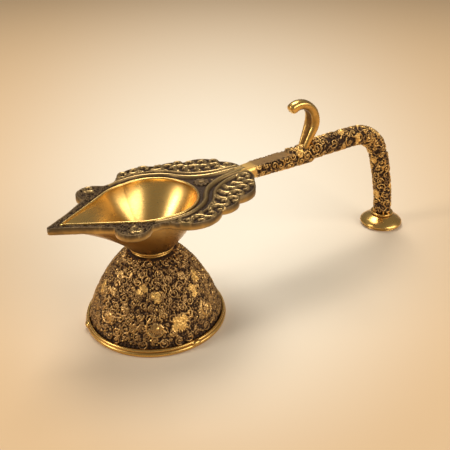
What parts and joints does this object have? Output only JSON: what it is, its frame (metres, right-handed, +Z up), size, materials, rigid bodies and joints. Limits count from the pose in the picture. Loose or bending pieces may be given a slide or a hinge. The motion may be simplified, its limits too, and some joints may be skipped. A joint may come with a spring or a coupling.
{
  "type": "oil lamp",
  "caption": "Brass oil lamp: domed relief stand, pointed oil bowl in a cast leaf border, and a level handle with thumb hook and a rear leg on a turned foot.",
  "frame": {"origin": "on the floor the lamp stands on, midway between the tip of the border plate and the rear edge of the foot, in the lamp's mirror plane", "axes": "+X along the handle from the bowl to the foot, the spout points along -X; +Z up; Y across the lamp"},
  "size_m": [0.2566, 0.0806, 0.1068],
  "materials": {
    "aged_relief_brass": "cast relief, dark in the recesses and rubbed bright on the high parts",
    "satin_bowl_brass": "satin brushed",
    "turned_brass": "lathe turned and softly polished",
    "hook_brass": "filed and burnished, with a punched groove",
    "rough_brass": "plain machined"
  },
  "bodies": {
    "stand": {"base_dome": "aged_relief_brass", "base_rim": "turned_brass", "rim_wire": "turned_brass", "rim_lugs": "turned_brass", "crown_nut": "rough_brass", "crown_washer": "rough_brass"},
    "collar": {"neck_collar": "turned_brass"},
    "lamp_top": {"bowl_stud": "rough_brass", "bowl": "satin_bowl_brass", "border_plate": "aged_relief_brass", "rosette_rivet": "aged_relief_brass", "tang_rivets": "rough_brass", "handle_arm": "aged_relief_brass", "thumb_hook": "hook_brass", "handle_grip": "aged_relief_brass", "foot_stud": "rough_brass"},
    "ring": {"foot_ring": "turned_brass"},
    "foot": {"foot_cone": "turned_brass"}
  },
  "joints": [
    {"name": "neck_turn", "type": "hinge", "parent": "stand", "child": "collar", "pos_m": [-0.07185, 0, 0.045], "axis": [0, 0, 1], "range_deg": [0, 1890]},
    {"name": "top_lift", "type": "slide", "parent": "collar", "child": "lamp_top", "axis": [0, 0, 1], "range_m": [0, 0.0067]},
    {"name": "ring_drop", "type": "slide", "parent": "lamp_top", "child": "ring", "axis": [0, 0, -1], "range_m": [0, 0.0015]},
    {"name": "foot_turn", "type": "hinge", "parent": "ring", "child": "foot", "pos_m": [0.11365, 0, 0.006], "axis": [0, 0, -1], "range_deg": [0, 541]}
  ],
  "couplings": [
    {"joint": "top_lift", "follows": "neck_turn", "m_per_rad": 0.00019894},
    {"joint": "foot_turn", "follows": "ring_drop", "rad_per_m": 6283.2}
  ]
}
